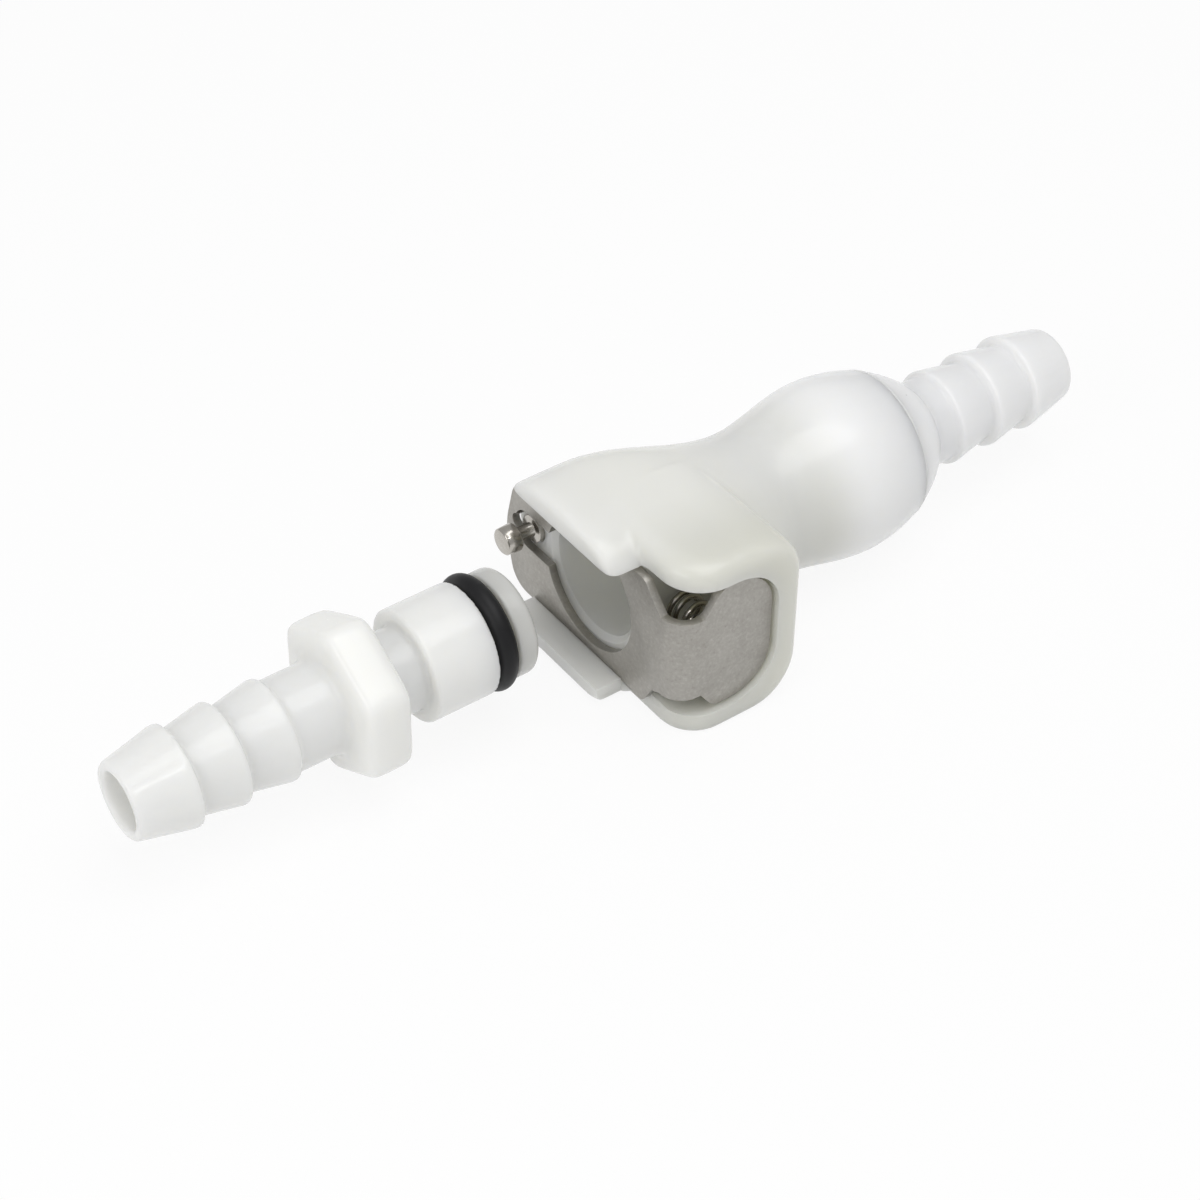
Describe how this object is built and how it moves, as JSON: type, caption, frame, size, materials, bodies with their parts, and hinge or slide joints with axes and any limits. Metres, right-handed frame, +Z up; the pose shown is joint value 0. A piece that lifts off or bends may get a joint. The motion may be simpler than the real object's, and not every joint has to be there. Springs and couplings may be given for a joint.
{
  "type": "quick disconnect coupling",
  "caption": "Two-part plastic tubing coupling with a sliding steel thumb latch: a barbed insert with an O-ring beside its valved, barbed coupling body.",
  "frame": {"origin": "under the middle of the object, on the surface that the body's flat flank lies on", "axes": "+X along the flow axis from the insert to the coupling body; +Z up; the thumb latch faces -Y"},
  "size_m": [0.0914, 0.0238, 0.0168],
  "materials": {
    "acetal": "natural, slightly translucent moulded plastic",
    "valve_acetal": "natural moulded plastic",
    "seal_rubber": "smooth black rubber",
    "sheet_steel": "tumbled stainless sheet",
    "pin_steel": "turned stainless",
    "spring_steel": "drawn stainless wire"
  },
  "bodies": {
    "coupling": {"coupling_body": "acetal", "barb_terminator": "acetal", "latch_spring": "spring_steel", "pin_spring": "spring_steel", "valve_spring": "spring_steel"},
    "insert": {"insert_body": "acetal", "insert_oring": "seal_rubber"},
    "latch": {"thumb_latch": "sheet_steel"},
    "pin": {"latch_pin": "pin_steel"},
    "poppet": {"valve_poppet": "valve_acetal", "poppet_seal": "seal_rubber"}
  },
  "joints": [
    {"name": "insert_slide", "type": "slide", "parent": "coupling", "child": "insert", "axis": [1, 0, 0], "range_m": [0, 0.01765]},
    {"name": "latch_slide", "type": "slide", "parent": "coupling", "child": "latch", "axis": [0, -1, 0], "range_m": [0, 0.0015], "deforming": ["latch_spring"]},
    {"name": "pin_slide", "type": "slide", "parent": "coupling", "child": "pin", "axis": [1, 0, 0], "range_m": [0, 0.0011], "deforming": ["pin_spring"]},
    {"name": "poppet_slide", "type": "slide", "parent": "coupling", "child": "poppet", "axis": [1, 0, 0], "range_m": [0, 0.003], "deforming": ["valve_spring"]}
  ],
  "couplings": [
    {"joint": "pin_slide", "follows": "latch_slide", "ratio": 0.7333},
    {"joint": "poppet_slide", "follows": "insert_slide", "ratio": 0.17}
  ]
}
